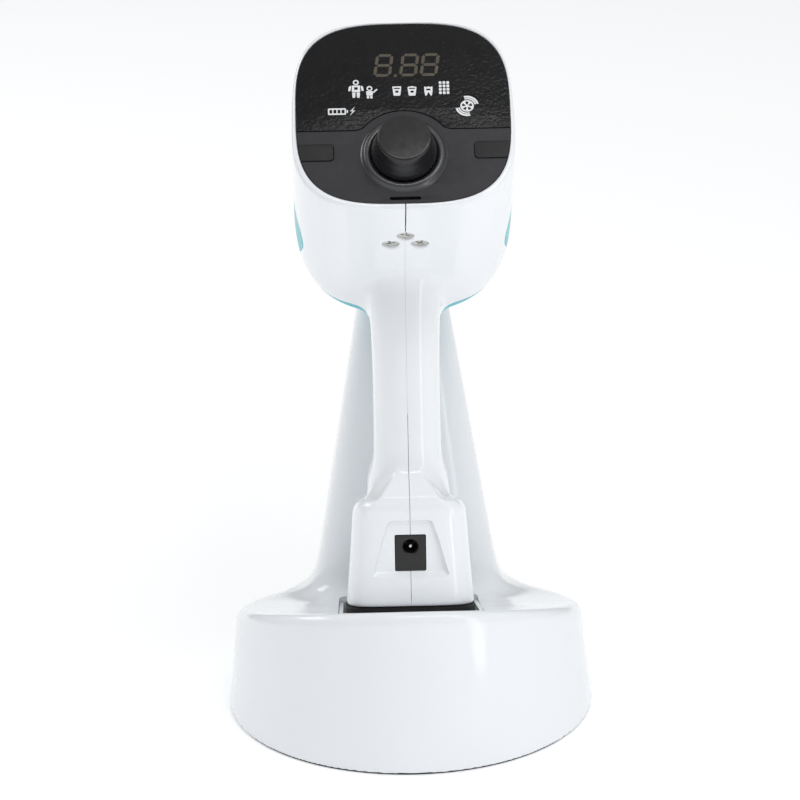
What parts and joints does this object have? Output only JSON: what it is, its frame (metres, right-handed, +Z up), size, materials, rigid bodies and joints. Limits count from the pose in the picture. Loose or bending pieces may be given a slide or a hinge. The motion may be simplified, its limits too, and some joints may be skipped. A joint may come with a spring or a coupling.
{
  "type": "intraoral x-ray unit",
  "caption": "Handheld dental X-ray unit with slanted control panel, beam cone, pistol grip and foot, standing in a round weighted cradle.",
  "frame": {"origin": "centre of the underside of the stand's anti-slip mat, on the table", "axes": "+Z up, +X to the operator's right, +Y along the beam away from the operator"},
  "size_m": [0.1398, 0.2514, 0.2676],
  "materials": {
    "white_gloss": "glossy moulded ABS, bluish white",
    "teal_gloss": "glossy teal inlay",
    "panel_black": "matte dark grey fascia",
    "window_black": "glossy smoked window",
    "knob_black": "satin black",
    "inlet_black": "satin black socket",
    "black_rubber": "matte black rubber",
    "dark_plastic": "matte dark plastic",
    "cone_grey": "satin charcoal",
    "steel": "machined steel",
    "aluminium": "rolled sheet",
    "lead": "cast lead alloy and potting",
    "ceramic": "glazed ceramic and glass",
    "circuit_board": "green solder mask",
    "cell_wrap": "blue shrink sleeve"
  },
  "bodies": {
    "stand": {"stand_shell": "white_gloss", "column_back_cover": "white_gloss", "cover_screw_1": "steel", "cover_screw_2": "steel", "pocket_liner": "white_gloss", "cradle_pad": "black_rubber", "base_plate": "dark_plastic", "anti_slip_mat": "black_rubber", "ballast_weight": "steel", "base_screw_1": "steel", "base_screw_2": "steel", "base_screw_3": "steel", "base_screw_4": "steel"},
    "handset": {"left_housing": "white_gloss", "right_housing": "white_gloss", "accent_left": "teal_gloss", "accent_right": "teal_gloss", "rear_screw_left": "steel", "rear_screw_right": "steel", "rear_screw_top": "steel", "control_panel_fascia": "panel_black", "display_window": "window_black", "knob_collar": "panel_black", "rotary_encoder": "dark_plastic", "left_key_switch": "dark_plastic", "right_key_switch": "dark_plastic", "digit_display": "dark_plastic", "display_board": "circuit_board", "buzzer": "dark_plastic", "tube_head": "lead", "xray_tube": "ceramic", "aluminium_filter": "aluminium", "lead_collimator": "lead", "cone_mount_ring": "white_gloss", "beam_window": "dark_plastic", "beam_cone": "cone_grey", "cone_lining": "lead", "cone_tip_ring": "black_rubber", "trigger_spring": "steel", "trigger_switch": "dark_plastic", "control_board": "circuit_board", "battery_cell_left": "cell_wrap", "battery_cell_right": "cell_wrap", "dc_inlet": "inlet_black", "dc_inlet_pin": "steel", "foot_boot": "black_rubber"},
    "push_shaft": {"knob_shaft": "steel"},
    "jog_knob": {"jog_knob": "knob_black"},
    "left_key": {"left_key": "panel_black"},
    "right_key": {"right_key": "panel_black"},
    "trigger": {"exposure_trigger": "knob_black"}
  },
  "joints": [
    {"name": "handset_lift", "type": "slide", "parent": "stand", "child": "handset", "axis": [0, 0, 1], "range_m": [0, 0.12]},
    {"name": "knob_press", "type": "slide", "parent": "handset", "child": "push_shaft", "axis": [0, 0.7071, -0.7071], "range_m": [0, 0.0006], "stiffness_N_per_m": 1500, "springref_m": -0.0004},
    {"name": "knob_turn", "type": "hinge", "parent": "push_shaft", "child": "jog_knob", "pos_m": [0, -0.04413, 0.22747], "axis": [0, -0.7071, 0.7071], "continuous": true},
    {"name": "left_key_press", "type": "slide", "parent": "handset", "child": "left_key", "axis": [0, 0.7071, -0.7071], "range_m": [0, 0.0005], "stiffness_N_per_m": 1200, "springref_m": -0.0003},
    {"name": "right_key_press", "type": "slide", "parent": "handset", "child": "right_key", "axis": [0, 0.7071, -0.7071], "range_m": [0, 0.0005], "stiffness_N_per_m": 1200, "springref_m": -0.0003},
    {"name": "trigger_pull", "type": "slide", "parent": "handset", "child": "trigger", "axis": [0, -1, 0], "range_m": [0, 0.003], "stiffness_N_per_m": 900, "springref_m": -0.001, "deforming": ["trigger_spring"]}
  ]
}
